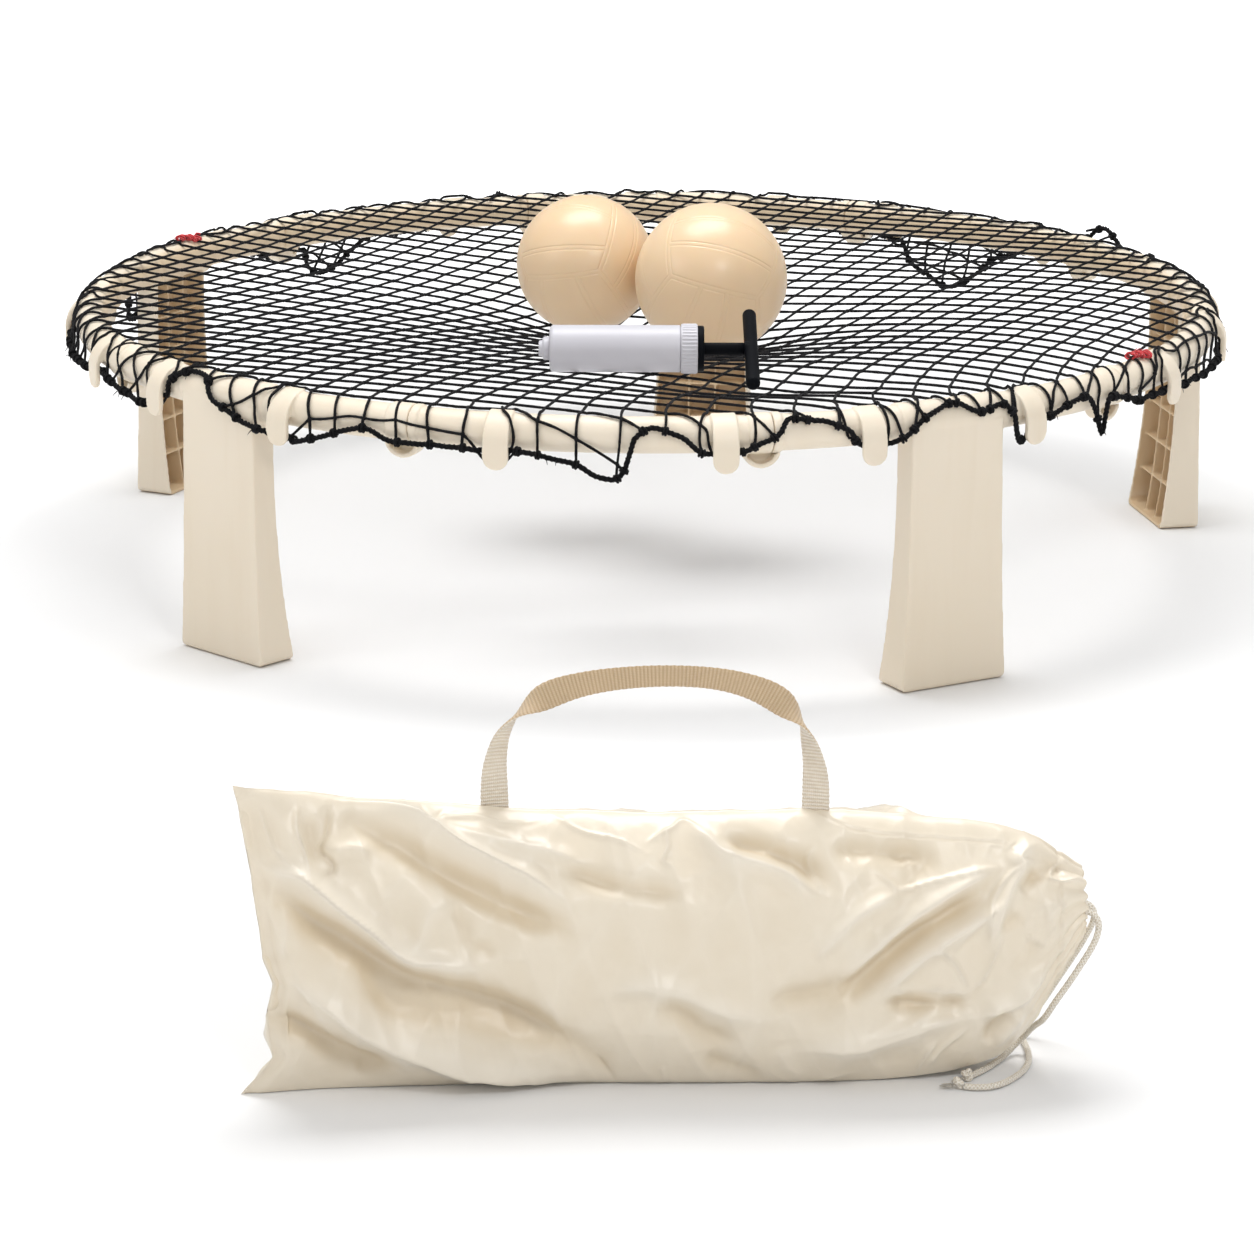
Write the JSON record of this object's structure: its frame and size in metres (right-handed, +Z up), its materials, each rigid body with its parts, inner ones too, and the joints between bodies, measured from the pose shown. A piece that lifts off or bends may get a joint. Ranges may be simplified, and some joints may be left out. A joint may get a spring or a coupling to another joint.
{
  "type": "roundnet set",
  "caption": "Sectional ring on five hollow legs with a knotted net, inflatable balls, a hand pump and a drawstring carry bag with a webbing handle.",
  "frame": {"origin": "middle of the whole set's footprint, on the ground", "axes": "+Z up; +Y from the carry bag, which stands in front, to the ring, which stands behind it; +X to the right as seen from the bag's side"},
  "size_m": [0.9228, 1.6123, 0.2849],
  "materials": {
    "frame_plastic": "satin moulded",
    "net_cord": "knotted braided cord",
    "marker_yarn": "yarn",
    "ball_rubber": "semi-gloss moulded",
    "pump_white": "semi-gloss moulded",
    "pump_black": "satin moulded",
    "seal_rubber": "greased",
    "bag_satin": "satin nylon",
    "bag_webbing": "woven webbing",
    "bag_string": "braided cord"
  },
  "bodies": {
    "root": {"leg_front_left": "frame_plastic", "leg_front_right": "frame_plastic", "leg_right": "frame_plastic", "leg_back": "frame_plastic", "leg_left": "frame_plastic", "rim_front": "frame_plastic", "rim_front_right": "frame_plastic", "rim_back_right": "frame_plastic", "rim_back_left": "frame_plastic", "rim_front_left": "frame_plastic", "net": "net_cord", "net_border_rope": "net_cord", "net_marker_ties": "marker_yarn"},
    "ball_left": {"ball_left": "ball_rubber", "ball_left_valve": "ball_rubber"},
    "ball_right": {"ball_right": "ball_rubber", "ball_right_valve": "ball_rubber"},
    "pump": {"pump_barrel": "pump_white", "pump_nozzle": "pump_white", "pump_collar": "pump_white", "pump_gland": "pump_black"},
    "pump_plunger": {"pump_rod": "pump_black", "pump_piston": "pump_black", "pump_piston_seal": "seal_rubber", "pump_handle": "pump_black"},
    "bag": {"bag_body": "bag_satin", "bag_handle_strap": "bag_webbing", "bag_eyelets": "bag_webbing", "bag_drawstring_front": "bag_string", "bag_drawstring_back": "bag_string", "bag_drawstring_knots": "bag_string"}
  },
  "joints": [
    {"name": "ball_left_lift", "type": "slide", "parent": "root", "child": "ball_left", "axis": [0, 0, 1], "range_m": [0, 0.25]},
    {"name": "ball_right_lift", "type": "slide", "parent": "root", "child": "ball_right", "axis": [0, 0, 1], "range_m": [0, 0.25]},
    {"name": "pump_lift", "type": "slide", "parent": "root", "child": "pump", "axis": [0, 0, 1], "range_m": [0, 0.2]},
    {"name": "plunger_slide", "type": "slide", "parent": "pump", "child": "pump_plunger", "axis": [1, 0, 0], "range_m": [-0.027, 0.045]},
    {"name": "bag_lift", "type": "slide", "parent": "root", "child": "bag", "axis": [0, 0, 1], "range_m": [0, 0.3]}
  ]
}
